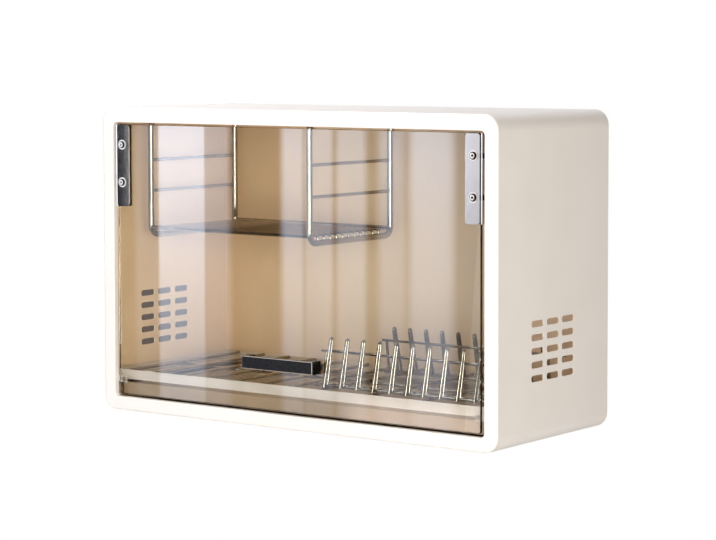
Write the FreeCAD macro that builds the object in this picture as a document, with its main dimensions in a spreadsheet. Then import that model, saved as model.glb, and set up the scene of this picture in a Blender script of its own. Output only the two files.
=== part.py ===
"""Wall dish drainer cabinet: a top-hung glass door, an upper basket, a rack with dividers, a drip tray.

The sizes are millimetres. They are measured from the middle of the cabinet's front plane, at its
underside: x to the right, y into the cabinet and z up. seat() then moves each piece into the frame
of the finished model, whose origin is the middle of the back face, between the four wall holes.
"""
import FreeCAD, Part
import math
import os
import Sketcher

os.makedirs("parts", exist_ok=True)

doc = FreeCAD.newDocument("dish_drainer_cabinet")
Vector = FreeCAD.Vector

# Driving sizes
DRIVING_SIZES = {
    # pressed and coated casing
    "width": 700,
    "height": 450,
    "depth": 285,
    "sheet": 1.2,
    "corner_radius": 22,
    "front_bend_radius": 3,
    "bezel_side": 21,
    "bezel_top": 22,
    "bezel_bottom": 20,
    "opening_radius": 6.5,
    "opening_bend_radius": 0.9,
    "return_depth": 8,
    "rear_flange_side": 14,
    "rear_flange_end": 38,
    "panel_clearance": 0.3,
    # screws into the wall
    "wall_hole_radius": 3.25,
    "wall_hole_side": 70,
    "wall_hole_end": 25,
    # side vents
    "vent_length": 30,
    "vent_height": 9,
    "vent_radius": 3.5,
    "vent_pitch": 38.8,
    "vent_row_pitch": 18.6,
    "vent_columns": 3,
    "vent_rows": 5,
    "vent_setback": 99,
    "vent_first_row": 90.8,
    # toughened glass door
    "door_gap_side": 7,
    "door_gap_top": 2.8,
    "door_gap_bottom": 4.4,
    "glass_thickness": 5,
    "glass_setback": 2,
    "glass_radius": 5,
    "glass_bevel": 0.6,
    # hinge leaves that clamp the glass
    "plate_width": 23,
    "plate_length": 120.5,
    "plate_thickness": 2,
    "plate_radius": 4,
    "plate_edge_inset": 0.5,
    "plate_top_inset": 0.7,
    "gasket_thickness": 1,
    "leaf_wall_gap": 0.8,
    "leaf_wall_setback": 1.4,
    "leaf_slot_length": 7.6,
    "leaf_slot_width": 5,
    "leaf_slot_radius": 1,
    "buffer_clearance": 0.1,
    "buffer_recess": 0.3,
    "clamp_screw_inset": 10,
    "clamp_screw_drop": 29.5,
    "clamp_screw_spacing": 55.5,
    "clamp_screw_radius": 2.5,
    "clamp_head_radius": 5.4,
    "clamp_head_height": 2.7,
    "clamp_head_chamfer": 1.5,
    "clamp_socket_radius": 2,
    "clamp_socket_depth": 1.5,
    "clamp_washer_radius": 7.2,
    "clamp_washer_thickness": 0.7,
    "clamp_nut_radius": 4.6,
    "clamp_nut_height": 4,
    "screw_clearance": 0.2,
    "sleeve_wall": 1.2,
    # pivots
    "pivot_setback": 16,
    "pivot_drop": 44,
    "pin_radius": 3,
    "pin_head_radius": 5.5,
    "pin_head_height": 2.6,
    "running_clearance": 0.05,
    "ear_offset": 3.8,
    "ear_radius": 9,
    "friction_washer_thickness": 1.5,
    "friction_washer_radius": 7.4,
    "friction_gap": 0.1,
    "bracket_thickness": 2,
    "bracket_height": 28,
    "bracket_web_setback": 28,
    "bracket_foot_length": 32,
    "bracket_return_clearance": 0.6,
    "spring_washer_thickness": 1.6,
    "spring_washer_radius": 7,
    "lock_nut_height": 5,
    "lock_nut_radius": 5.8,
    "pin_tail": 1,
    # closed stops
    "stop_tab_reach": 18,
    "stop_tab_height": 10,
    "stop_tab_floor": 40.8,
    "bumper_radius": 4,
    "bumper_stem_radius": 1.9,
    "bumper_barb_radius": 2.9,
    "bumper_barb_length": 1.8,
    "bumper_inset": 13,
    # handle
    "handle_length": 126,
    "handle_height": 18,
    "handle_projection": 20,
    "handle_bar": 5,
    "handle_leg": 9,
    "handle_shift": -8,
    "handle_floor": 84,
    "handle_edge_radius": 1,
    "handle_screw_radius": 2,
    "handle_screw_engagement": 12,
    "handle_head_radius": 4,
    "handle_head_height": 2.8,
    "handle_washer_radius": 6,
    "handle_washer_thickness": 1,
    # runners under the rack
    "runner_setback": 20,
    "runner_back_gap": 20.6,
    "runner_reach": 37.8,
    "runner_floor": 36,
    "runner_height": 9,
    "rack_clearance": 2.3,
    # drip tray
    "tray_setback": 18,
    "tray_back_gap": 27.6,
    "tray_side_inset": 42,
    "tray_floor": 21,
    "tray_front_height": 19,
    "tray_flange_reach": 18,
    "tray_front_radius": 3,
    "tray_seat_gap": 0.3,
    "tray_corner_radius": 6,
    # rack frame
    "lip_setback": 16,
    "lip_height": 14,
    "lip_flange": 14,
    "lip_hem_height": 4,
    "rack_back_gap": 6.6,
    "rod_radius": 2.5,
    "rod_drop": 1,
    "left_rod_inset": 33,
    "left_rod_pitch": 50.5,
    "left_rod_count": 8,
    "right_rod_inset": 36.5,
    "right_rod_pitch": 90,
    "right_rod_count": 3,
    # dividers: two rows of wire hairpins
    "divider_wire_radius": 2,
    "divider_side_gap": 12.66,
    "divider_pitch": 28.16,
    "divider_count": 10,
    "divider_setback": 30,
    "divider_foot_gap": 8.5,
    "divider_lift": 0.3,
    "divider_height": 67.2,
    "divider_lean": 14.3,
    "divider_bend_radius": 2.3,
    "divider_base_rail_radius": 2,
    "divider_rail_height": 48.6,
    "divider_weld_gap": 0.12,
    "divider_rail_overhang": 19,
    "divider_post_offset": 11.4,
    "divider_tail": 40,
    "rest_rail_setback": 7.3,
    "rest_rail_gap": 158,
    "rest_rail_radius": 2.25,
    # upper basket
    "basket_wall_gap": 34.8,
    "basket_span": 300.3,
    "basket_front": 69,
    "basket_back_gap": 16.6,
    "basket_roof_gap": 10.8,
    "basket_height": 180.5,
    "basket_tube_radius": 4.5,
    "basket_bend_radius": 15,
    "basket_rail_radius": 2.5,
    "basket_lower_rail": 66.5,
    "basket_upper_rail": 112.5,
    "basket_edge_rail_radius": 3.25,
    "basket_edge_rail_lift": 11,
    "basket_edge_rail_inset": 0.55,
    "basket_wire_radius": 2,
    "basket_wire_lift": 10.5,
    "basket_wire_inset": 18.6,
    "basket_wire_rear_inset": 29.4,
    "basket_wire_count": 11,
    # hangers under the roof
    "hanger_width": 16,
    "hanger_strip": 1.5,
    "hanger_seat_gap": 0.3,
    "hanger_foot": 14,
    "hanger_lip": 5.3,
    "hanger_inset": 31,
}


class Size:
    """A length that carries both its number and the expression that ties it to the spreadsheet."""

    def __init__(self, number, text=None):
        self.number = float(number)
        self.text = text if text else repr(self.number)

    @staticmethod
    def of(other):
        return other if isinstance(other, Size) else Size(other)

    def __add__(self, other):
        other = Size.of(other)
        return Size(self.number + other.number, f"({self.text} + {other.text})")

    def __sub__(self, other):
        other = Size.of(other)
        return Size(self.number - other.number, f"({self.text} - {other.text})")

    def __mul__(self, other):
        other = Size.of(other)
        return Size(self.number * other.number, f"({self.text} * {other.text})")

    def __truediv__(self, other):
        other = Size.of(other)
        return Size(self.number / other.number, f"({self.text} / {other.text})")

    def __neg__(self):
        return self * -1


def make_sheet():
    """Fill the spreadsheet and return a namespace with one Size per alias."""
    sheet = doc.addObject("Spreadsheet::Sheet", "sizes")
    for row, (alias, number) in enumerate(DRIVING_SIZES.items(), start=1):
        sheet.set(f"A{row}", alias.replace("_", " "))
        sheet.set(f"B{row}", str(number))
        sheet.setAlias(f"B{row}", alias)
    doc.recompute()
    named = {alias: Size(sheet.get(alias), f"sizes.{alias}") for alias in DRIVING_SIZES}
    return type("Sizes", (), named)


S = make_sheet()
ZERO = Size(0)
TOUCH = 1e-3


# Helpers that bind a document object to the sizes
def bind(thing, path, size):
    """Tie one property of an object to the spreadsheet."""
    thing.setExpression(path, Size.of(size).text)


def seat(piece, x=ZERO, y=ZERO, z=ZERO):
    """Place a piece by its distance from the middle of the front plane's lower edge."""
    bind(piece, "Placement.Base.x", x)
    bind(piece, "Placement.Base.y", Size.of(y) - S.depth)
    bind(piece, "Placement.Base.z", Size.of(z) - S.height / 2)
    return piece


def new_body(name):
    body = doc.addObject("PartDesign::Body", name)
    body.Label = name
    return body


def new_sketch(body, name, role, offset=ZERO):
    """A sketch on one of the body's own planes, moved along the plane's normal."""
    sketch = body.newObject("Sketcher::SketchObject", f"{body.Name}_{name}")
    plane = next(item for item in body.Origin.OriginFeatures if item.Role == role)
    sketch.AttachmentSupport = [(plane, "")]
    sketch.MapMode = "FlatFace"
    bind(sketch, "AttachmentOffset.Base.z", offset)
    return sketch


def dimension(sketch, kind, targets, size, name):
    """Add a driving constraint and tie it to its size."""
    size = Size.of(size)
    index = sketch.addConstraint(Sketcher.Constraint(kind, *targets, size.number))
    sketch.renameConstraint(index, name)
    bind(sketch, f"Constraints.{name}", size)


def locate(sketch, geometry, point, x, y, name):
    """Fix one point of a sketch from the sketch's own origin."""
    dimension(sketch, "DistanceX", (-1, 1, geometry, point), x, f"{name}_x")
    dimension(sketch, "DistanceY", (-1, 1, geometry, point), y, f"{name}_y")


def circle(sketch, name, radius, x=ZERO, y=ZERO):
    x, y = Size.of(x), Size.of(y)
    ring = Part.Circle(Vector(x.number, y.number, 0), Vector(0, 0, 1), radius.number)
    geometry = sketch.addGeometry(ring)
    dimension(sketch, "Radius", (geometry,), radius, f"{name}_radius")
    locate(sketch, geometry, 3, x, y, name)


def outline(sketch, name, corners, closed=True):
    """Straight sides from corner to corner, each corner fixed from the sketch's origin."""
    points = [Vector(Size.of(x).number, Size.of(y).number, 0) for x, y in corners]
    ends = points[1:] + (points[:1] if closed else [])
    lines = [sketch.addGeometry(Part.LineSegment(start, end)) for start, end in zip(points, ends)]
    followers = lines[1:] + (lines[:1] if closed else [])
    for line, following in zip(lines, followers):
        sketch.addConstraint(Sketcher.Constraint("Coincident", line, 2, following, 1))
    for number, (line, (x, y)) in enumerate(zip(lines, corners)):
        locate(sketch, line, 1, x, y, f"{name}_{number}")
    if not closed:
        x, y = corners[-1]
        locate(sketch, lines[-1], 2, x, y, f"{name}_end")


def rectangle(sketch, name, left, right, bottom, top):
    outline(sketch, name, [(left, bottom), (right, bottom), (right, top), (left, top)])


def hexagon(sketch, corner):
    """A hexagon about the sketch's origin, with a corner at the given radius along its first axis."""
    flat = corner * math.cos(math.pi / 6)
    outline(sketch, "hex", [(corner, ZERO), (corner / 2, flat), (-corner / 2, flat),
                            (-corner, ZERO), (-corner / 2, -flat), (corner / 2, -flat)])


def rounded_rectangle(sketch, name, width, height, radius, x=ZERO, y=ZERO):
    """A rectangle about (x, y) with four equal tangent corner arcs."""
    x, y = Size.of(x), Size.of(y)
    side_x, side_y = width.number / 2 - radius.number, height.number / 2 - radius.number
    rim = radius.number
    quarter = math.pi / 2
    signs = [(1, 1), (-1, 1), (-1, -1), (1, -1)]
    sides, arcs = [], []
    for turn, (sign_x, sign_y) in enumerate(signs):
        centre = Vector(x.number + sign_x * side_x, y.number + sign_y * side_y, 0)
        corner = Part.Circle(centre, Vector(0, 0, 1), rim)
        arcs.append(sketch.addGeometry(Part.ArcOfCircle(corner, turn * quarter, (turn + 1) * quarter)))
        next_x, next_y = signs[(turn + 1) % 4]
        start = centre + Vector(rim * math.cos((turn + 1) * quarter), rim * math.sin((turn + 1) * quarter), 0)
        end = start + Vector((next_x - sign_x) * side_x, (next_y - sign_y) * side_y, 0)
        sides.append(sketch.addGeometry(Part.LineSegment(start, end)))
    for turn in range(4):
        sketch.addConstraint(Sketcher.Constraint("Tangent", arcs[turn], 2, sides[turn], 1))
        sketch.addConstraint(Sketcher.Constraint("Tangent", sides[turn], 2, arcs[(turn + 1) % 4], 1))
        if turn:
            sketch.addConstraint(Sketcher.Constraint("Equal", arcs[0], arcs[turn]))
        sketch.addConstraint(Sketcher.Constraint("Vertical" if turn % 2 else "Horizontal", sides[turn]))
    dimension(sketch, "Radius", (arcs[0],), radius, f"{name}_radius")
    dimension(sketch, "DistanceX", (-1, 1, sides[3], 1), x + width / 2, f"{name}_right")
    dimension(sketch, "DistanceX", (-1, 1, sides[1], 1), x - width / 2, f"{name}_left")
    dimension(sketch, "DistanceY", (-1, 1, sides[0], 1), y + height / 2, f"{name}_top")
    dimension(sketch, "DistanceY", (-1, 1, sides[2], 1), y - height / 2, f"{name}_bottom")


def pad(body, sketch, length, backwards=False, both_ways=False):
    feature = body.newObject("PartDesign::Pad", f"{sketch.Name}_pad")
    feature.Profile = sketch
    feature.Reversed = backwards
    feature.Midplane = both_ways
    bind(feature, "Length", length)
    return feature


def pocket(body, sketch, length, backwards=False, both_ways=False):
    feature = body.newObject("PartDesign::Pocket", f"{sketch.Name}_pocket")
    feature.Profile = sketch
    feature.Reversed = backwards
    feature.Midplane = both_ways
    bind(feature, "Length", length)
    return feature


def picked_edges(base, wanted):
    """The names of the edges of a feature that pass a test."""
    doc.recompute()
    return [f"Edge{number}" for number, edge in enumerate(base.Shape.Edges, start=1) if wanted(edge)]


def fillet(body, base, radius, name, wanted):
    feature = body.newObject("PartDesign::Fillet", f"{body.Name}_{name}")
    feature.Base = (base, picked_edges(base, wanted))
    bind(feature, "Radius", radius)
    return feature


def chamfer(body, base, width, name, wanted):
    feature = body.newObject("PartDesign::Chamfer", f"{body.Name}_{name}")
    feature.Base = (base, picked_edges(base, wanted))
    bind(feature, "Size", width)
    return feature


def row_of(body, feature, role, pitch, count, backwards=False):
    """Repeat a feature along one of the body's own axes."""
    pattern = body.newObject("PartDesign::LinearPattern", f"{feature.Name}_row")
    pattern.Originals = [feature]
    axis = next(item for item in body.Origin.OriginFeatures if item.Role == role)
    pattern.Direction = (axis, [""])
    pattern.Mode = "Spacing"
    pattern.Reversed = backwards
    bind(pattern, "Offset", pitch)
    bind(pattern, "Occurrences", count)
    body.Tip = pattern
    return pattern


def bent_rod(body, path, profile_role, radius, x, y, offset=ZERO):
    """Sweep a round wire along a path sketch, with mitres where straight runs of the path meet."""
    section = new_sketch(body, "section", profile_role, offset)
    circle(section, "wire", radius, x, y)
    feature = body.newObject("PartDesign::AdditivePipe", f"{body.Name}_wire")
    feature.Profile = section
    feature.Spine = path
    feature.Transition = "Right corner"
    return feature


def straight_rod(body, name, role, radius, start, length, x=ZERO, y=ZERO):
    """A round bar along a plane's normal, from start, with its axis at (x, y) of that plane."""
    sketch = new_sketch(body, name, role, start)
    circle(sketch, name, radius, x, y)
    return pad(body, sketch, length)


def mirrored(name, source, normal=Vector(1, 0, 0), along=None, plane=ZERO):
    """A handed copy of a piece, across the middle of the cabinet unless a plane is given."""
    copy = doc.addObject("Part::Mirroring", name)
    copy.Label = name
    copy.Source = source
    copy.Normal = normal
    if along:
        bind(copy, f"Base.{along}", plane)
    return copy


def group(name, pieces):
    """One node that holds several separate like pieces."""
    bundle = doc.addObject("Part::Compound", name)
    bundle.Label = name
    bundle.Links = pieces
    return bundle


def copies(name, source, places):
    """Seat linked copies of one piece and gather them in a node."""
    links = []
    for number, (x, y, z) in enumerate(places):
        link = doc.addObject("App::Link", f"{name}_{number}")
        link.LinkedObject = source
        link.LinkTransform = True
        links.append(seat(link, x, y, z))
    return group(name, links)


SUBPARTS = []


def keep(piece):
    """Mark a finished piece as a sub-part of the assembly."""
    SUBPARTS.append(piece)
    return piece


# Places shared by several pieces
HALF_OPENING = S.width / 2 - S.bezel_side
OPENING_TOP = S.height - S.bezel_top
OPENING_MIDDLE = (OPENING_TOP + S.bezel_bottom) / 2
WALL_INSIDE = S.width / 2 - S.sheet
ROOF_INSIDE = S.height - S.sheet
BACK_INSIDE = S.depth - S.sheet * 2
HALF_GLASS = HALF_OPENING - S.door_gap_side
GLASS_TOP = OPENING_TOP - S.door_gap_top
GLASS_BOTTOM = S.bezel_bottom + S.door_gap_bottom
GLASS_BACK = S.glass_setback + S.glass_thickness
GLASS_MIDDLE = S.glass_setback + S.glass_thickness / 2
PLATE_OUTER = HALF_GLASS - S.plate_edge_inset
PLATE_MIDDLE = PLATE_OUTER - S.plate_width / 2
PLATE_TOP = GLASS_TOP - S.plate_top_inset
PLATE_CENTRE = PLATE_TOP - S.plate_length / 2
PLATE_FRONT = S.glass_setback - S.plate_thickness
LEAF_FRONT = GLASS_BACK + S.gasket_thickness
LEAF_BACK = LEAF_FRONT + S.plate_thickness
LEAF_WALL = HALF_GLASS + S.leaf_wall_gap
CLAMP_X = PLATE_OUTER - S.clamp_screw_inset
CLAMP_HIGH = PLATE_TOP - S.clamp_screw_drop
CLAMP_LOW = CLAMP_HIGH - S.clamp_screw_spacing
PIVOT_Z = GLASS_TOP - S.pivot_drop
EAR_INNER = HALF_GLASS + S.ear_offset
EAR_OUTER = EAR_INNER + S.plate_thickness
BRACKET_INNER = EAR_OUTER + S.friction_washer_thickness + S.friction_gap
BRACKET_OUTER = BRACKET_INNER + S.bracket_thickness
RACK_FLOOR = S.runner_floor + S.runner_height
HALF_RACK = WALL_INSIDE - S.rack_clearance
RACK_LENGTH = BACK_INSIDE - S.lip_setback - S.rack_back_gap
LIP_TOP = RACK_FLOOR + S.lip_height
ROD_HEIGHT = LIP_TOP - S.rod_drop
ROD_TOP = ROD_HEIGHT + S.rod_radius
ROD_START = S.lip_setback + S.sheet * 2
ROD_LENGTH = RACK_LENGTH - S.sheet * 4
RACK_MIDDLE = S.lip_setback + RACK_LENGTH / 2
REST_RAIL_HEIGHT = ROD_TOP + S.rest_rail_radius
DIVIDER_FOOT = ROD_TOP + S.divider_lift
DIVIDER_RAIL_Z = DIVIDER_FOOT + S.divider_rail_height


# Casing: one sheet of steel, folded round the cabinet and pressed in at the front
def lies_at_depth(edge, depth):
    low, high = edge.BoundBox.YMin, edge.BoundBox.YMax
    return abs(low - depth.number) < TOUCH and abs(high - depth.number) < TOUCH


def round_the_opening(edge):
    box = edge.BoundBox
    return box.XMax < HALF_OPENING.number + TOUCH and box.XMin > -HALF_OPENING.number - TOUCH


def wall_holes(body, length, face):
    """Four screw holes on the corners of a rectangle about the middle of the back."""
    sketch = new_sketch(body, "holes", "XZ_Plane", -face)
    corners = ((-1, -1), (1, -1), (1, 1), (-1, 1))
    for number, (side, level) in enumerate(corners):
        circle(sketch, f"hole_{number}", S.wall_hole_radius, (S.width / 2 - S.wall_hole_side) * side,
               S.height / 2 + (S.height / 2 - S.wall_hole_end) * level)
    return pocket(body, sketch, length)


def make_casing():
    body = new_body("casing")
    middle = S.height / 2
    wrap = new_sketch(body, "wrap", "XZ_Plane")
    rounded_rectangle(wrap, "outer", S.width, S.height, S.corner_radius, ZERO, middle)
    rounded_rectangle(wrap, "inner", S.width - S.sheet * 2, S.height - S.sheet * 2,
                      S.corner_radius - S.sheet, ZERO, middle)
    pad(body, wrap, S.depth, backwards=True)

    opening_width = HALF_OPENING * 2
    opening_height = OPENING_TOP - S.bezel_bottom
    bezel = new_sketch(body, "bezel", "XZ_Plane")
    rounded_rectangle(bezel, "outer", S.width, S.height, S.corner_radius, ZERO, middle)
    rounded_rectangle(bezel, "opening", opening_width, opening_height, S.opening_radius, ZERO, OPENING_MIDDLE)
    face = pad(body, bezel, S.sheet, backwards=True)
    inner_bend = fillet(body, face, S.front_bend_radius - S.sheet, "inner_bend",
                        lambda edge: lies_at_depth(edge, S.sheet) and not round_the_opening(edge))
    fillet(body, inner_bend, S.front_bend_radius, "outer_bend",
           lambda edge: lies_at_depth(edge, ZERO) and not round_the_opening(edge))

    lip = new_sketch(body, "return", "XZ_Plane")
    rounded_rectangle(lip, "outer", opening_width + S.sheet * 2, opening_height + S.sheet * 2,
                      S.opening_radius + S.sheet, ZERO, OPENING_MIDDLE)
    rounded_rectangle(lip, "opening", opening_width, opening_height, S.opening_radius, ZERO, OPENING_MIDDLE)
    returned = pad(body, lip, S.return_depth, backwards=True)
    fillet(body, returned, S.opening_bend_radius, "opening_bend",
           lambda edge: lies_at_depth(edge, ZERO) and round_the_opening(edge))

    flange_face = S.depth - S.sheet
    flange = new_sketch(body, "flange", "XZ_Plane", -flange_face)
    rounded_rectangle(flange, "outer", S.width, S.height, S.corner_radius, ZERO, middle)
    rectangle(flange, "inner", S.rear_flange_side - S.width / 2, S.width / 2 - S.rear_flange_side,
              S.rear_flange_end, S.height - S.rear_flange_end)
    pad(body, flange, S.sheet, backwards=True)
    wall_holes(body, S.sheet * 2, flange_face - S.sheet / 2)

    vents = new_sketch(body, "vents", "YZ_Plane")
    for row in range(DRIVING_SIZES["vent_rows"]):
        rounded_rectangle(vents, f"slot_{row}", S.vent_length, S.vent_height, S.vent_radius, S.vent_setback,
                          S.vent_first_row + S.vent_row_pitch * row)
    column = pocket(body, vents, S.width * 2, both_ways=True)
    row_of(body, column, "Y_Axis", S.vent_pitch, S.vent_columns)
    return keep(seat(body))


def make_back_panel():
    body = new_body("back_panel")
    sketch = new_sketch(body, "sheet", "XZ_Plane")
    inset = S.sheet * 2 + S.panel_clearance * 2
    rounded_rectangle(sketch, "outer", S.width - inset, S.height - inset,
                      S.corner_radius - S.sheet - S.panel_clearance, ZERO, S.height / 2)
    pad(body, sketch, S.sheet, backwards=True)
    wall_holes(body, S.sheet * 2, -S.sheet / 2)
    return keep(seat(body, y=BACK_INSIDE))


# Door: a sheet of toughened glass, clamped between plates at its upper corners
CLAMP_PLACES = [(CLAMP_X * side, level) for side in (-1, 1) for level in (CLAMP_HIGH, CLAMP_LOW)]
HANDLE_SCREW_REACH = (S.handle_length - S.handle_leg) / 2
HANDLE_PLACES = [S.handle_shift + HANDLE_SCREW_REACH * side for side in (-1, 1)]
HANDLE_MIDDLE = S.handle_floor + S.handle_height / 2
SLEEVE_RADIUS = S.clamp_screw_radius + S.screw_clearance + S.sleeve_wall


def make_door_glass():
    body = new_body("door_glass")
    middle = (GLASS_TOP + GLASS_BOTTOM) / 2
    sketch = new_sketch(body, "pane", "XZ_Plane")
    rounded_rectangle(sketch, "edge", HALF_GLASS * 2, GLASS_TOP - GLASS_BOTTOM, S.glass_radius, ZERO, middle)
    pane = pad(body, sketch, S.glass_thickness, backwards=True)
    chamfer(body, pane, S.glass_bevel, "polished_edge", lambda edge: edge.BoundBox.YLength < TOUCH)
    holes = new_sketch(body, "holes", "XZ_Plane", S.glass_thickness)
    for number, (x, z) in enumerate(CLAMP_PLACES):
        circle(holes, f"clamp_{number}", SLEEVE_RADIUS + S.screw_clearance, x, z)
    for number, x in enumerate(HANDLE_PLACES):
        circle(holes, f"handle_{number}", S.handle_screw_radius + S.screw_clearance, x, HANDLE_MIDDLE)
    pocket(body, holes, S.glass_thickness * 3)
    return keep(seat(body, y=S.glass_setback))


def clamp_outline(sketch):
    """The outline that the right-hand cover plate, gasket and leaf share."""
    rounded_rectangle(sketch, "edge", S.plate_width, S.plate_length, S.plate_radius, PLATE_MIDDLE,
                      PLATE_CENTRE)


def clamp_holes(body, name, radius, length):
    """The two screw holes of a right-hand clamp plate, cut from just in front of it."""
    sketch = new_sketch(body, name, "XZ_Plane", length)
    for number, z in enumerate((CLAMP_HIGH, CLAMP_LOW)):
        circle(sketch, f"{name}_{number}", radius, CLAMP_X, z)
    return pocket(body, sketch, length * 3)


def make_cover_plates():
    body = new_body("hinge_cover_plate_right")
    sketch = new_sketch(body, "plate", "XZ_Plane")
    clamp_outline(sketch)
    pad(body, sketch, S.plate_thickness, backwards=True)
    clamp_holes(body, "holes", S.clamp_screw_radius + S.screw_clearance, S.plate_thickness)
    keep(seat(body, y=PLATE_FRONT))
    keep(mirrored("hinge_cover_plate_left", body))


def make_gaskets():
    """Rubber pads behind the glass, and buffers in the leaves' slots that centre it sideways."""
    body = new_body("hinge_gasket_right")
    sketch = new_sketch(body, "pad", "XZ_Plane")
    clamp_outline(sketch)
    pad(body, sketch, S.gasket_thickness, backwards=True)
    clamp_holes(body, "holes", S.clamp_screw_radius + S.screw_clearance, S.gasket_thickness)
    seat(body, y=GLASS_BACK)
    rubbers = [body, mirrored("hinge_gasket_left", body)]
    for level, z in (("high", CLAMP_HIGH), ("low", CLAMP_LOW)):
        buffer = new_body(f"edge_buffer_{level}")
        section = new_sketch(buffer, "section", "YZ_Plane")
        slip = S.buffer_clearance * 2
        rounded_rectangle(section, "edge", S.leaf_slot_width - slip, S.leaf_slot_length - slip,
                          S.leaf_slot_radius - S.buffer_clearance)
        pad(buffer, section, S.leaf_wall_gap + S.plate_thickness - S.buffer_recess)
        seat(buffer, HALF_GLASS, GLASS_MIDDLE, z)
        rubbers += [buffer, mirrored(f"edge_buffer_{level}_left", buffer)]
    keep(group("hinge_gaskets", rubbers))


def make_hinge_leaves():
    """Inner plates with a wall folded round the glass's edge, and ears turned back to the pivots."""
    body = new_body("hinge_leaf_right")
    plate = new_sketch(body, "plate", "XZ_Plane")
    clamp_outline(plate)
    pad(body, plate, S.plate_thickness, backwards=True)
    bridge = new_sketch(body, "bridge", "XZ_Plane")
    rectangle(bridge, "strip", PLATE_MIDDLE, EAR_OUTER, PIVOT_Z - S.ear_radius, PIVOT_Z + S.ear_radius)
    pad(body, bridge, S.plate_thickness, backwards=True)
    pivot_y = S.pivot_setback - LEAF_FRONT
    shoulder = new_sketch(body, "shoulder", "YZ_Plane", EAR_INNER)
    rectangle(shoulder, "side", ZERO, pivot_y, PIVOT_Z - S.ear_radius, PIVOT_Z + S.ear_radius)
    pad(body, shoulder, S.plate_thickness)
    eye = new_sketch(body, "eye", "YZ_Plane", EAR_INNER)
    circle(eye, "rim", S.ear_radius, pivot_y, PIVOT_Z)
    pad(body, eye, S.plate_thickness)
    clear = new_sketch(body, "clear", "XZ_Plane")
    rectangle(clear, "front", PLATE_MIDDLE, EAR_OUTER + S.ear_radius, PIVOT_Z - S.ear_radius * 2,
              PIVOT_Z + S.ear_radius * 2)
    pocket(body, clear, S.ear_radius, backwards=True)
    bore = new_sketch(body, "bore", "YZ_Plane", EAR_INNER - S.plate_thickness)
    circle(bore, "pin", S.pin_radius + S.running_clearance, pivot_y, PIVOT_Z)
    pocket(body, bore, S.plate_thickness * 3, backwards=True)
    fold = new_sketch(body, "fold", "XZ_Plane")
    low, high = PLATE_CENTRE - S.plate_length / 2, PLATE_TOP
    rectangle(fold, "strip", PLATE_MIDDLE, LEAF_WALL + S.plate_thickness, low, high)
    pad(body, fold, S.plate_thickness, backwards=True)
    wall = new_sketch(body, "wall", "YZ_Plane", LEAF_WALL)
    rectangle(wall, "side", S.leaf_wall_setback - LEAF_FRONT, S.plate_thickness, low, high)
    pad(body, wall, S.plate_thickness)
    slots = new_sketch(body, "slots", "YZ_Plane", LEAF_WALL)
    for number, z in enumerate((CLAMP_HIGH, CLAMP_LOW)):
        rounded_rectangle(slots, f"slot_{number}", S.leaf_slot_width, S.leaf_slot_length, S.leaf_slot_radius,
                          GLASS_MIDDLE - LEAF_FRONT, z)
    pocket(body, slots, S.plate_thickness * 2, both_ways=True)
    clamp_holes(body, "holes", S.clamp_screw_radius + S.screw_clearance, S.plate_thickness)
    keep(seat(body, y=LEAF_FRONT))
    keep(mirrored("hinge_leaf_left", body))


def make_clamp_fasteners():
    """Button-head screws, washers, nuts and nylon sleeves that clamp the plates on the glass."""
    screw = new_body("clamp_screw")
    reach = LEAF_BACK + S.clamp_nut_height - PLATE_FRONT
    head = straight_rod(screw, "head", "XZ_Plane", S.clamp_head_radius, S.clamp_washer_thickness,
                        S.clamp_head_height)
    head_middle = -S.clamp_washer_thickness - S.clamp_head_height / 2
    chamfer(screw, head, S.clamp_head_chamfer, "crown", lambda edge: edge.BoundBox.YMax < head_middle.number)
    shank = new_sketch(screw, "shank", "XZ_Plane", S.clamp_washer_thickness)
    circle(shank, "shank", S.clamp_screw_radius)
    pad(screw, shank, reach + S.clamp_washer_thickness, backwards=True)
    socket = new_sketch(screw, "socket", "XZ_Plane", S.clamp_washer_thickness + S.clamp_head_height)
    hexagon(socket, S.clamp_socket_radius)
    pocket(screw, socket, S.clamp_socket_depth)
    places = [(x, PLATE_FRONT, z) for x, z in CLAMP_PLACES]
    keep(copies("hinge_screws", screw, places))

    washer = new_body("clamp_washer")
    sketch = new_sketch(washer, "ring", "XZ_Plane")
    circle(sketch, "rim", S.clamp_washer_radius)
    circle(sketch, "bore", S.clamp_screw_radius + S.screw_clearance)
    pad(washer, sketch, S.clamp_washer_thickness)
    keep(copies("hinge_screw_washers", washer, places))

    nut = new_body("clamp_nut")
    sketch = new_sketch(nut, "hex", "XZ_Plane")
    hexagon(sketch, S.clamp_nut_radius)
    circle(sketch, "bore", S.clamp_screw_radius + S.running_clearance)
    pad(nut, sketch, S.clamp_nut_height, backwards=True)
    keep(copies("hinge_nuts", nut, [(x, LEAF_BACK, z) for x, z in CLAMP_PLACES]))

    sleeve = new_body("glass_sleeve")
    sketch = new_sketch(sleeve, "ring", "XZ_Plane")
    circle(sketch, "rim", SLEEVE_RADIUS)
    circle(sketch, "bore", S.clamp_screw_radius + S.screw_clearance)
    pad(sleeve, sketch, S.glass_thickness, backwards=True)
    keep(copies("glass_sleeves", sleeve, [(x, S.glass_setback, z) for x, z in CLAMP_PLACES]))


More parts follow.
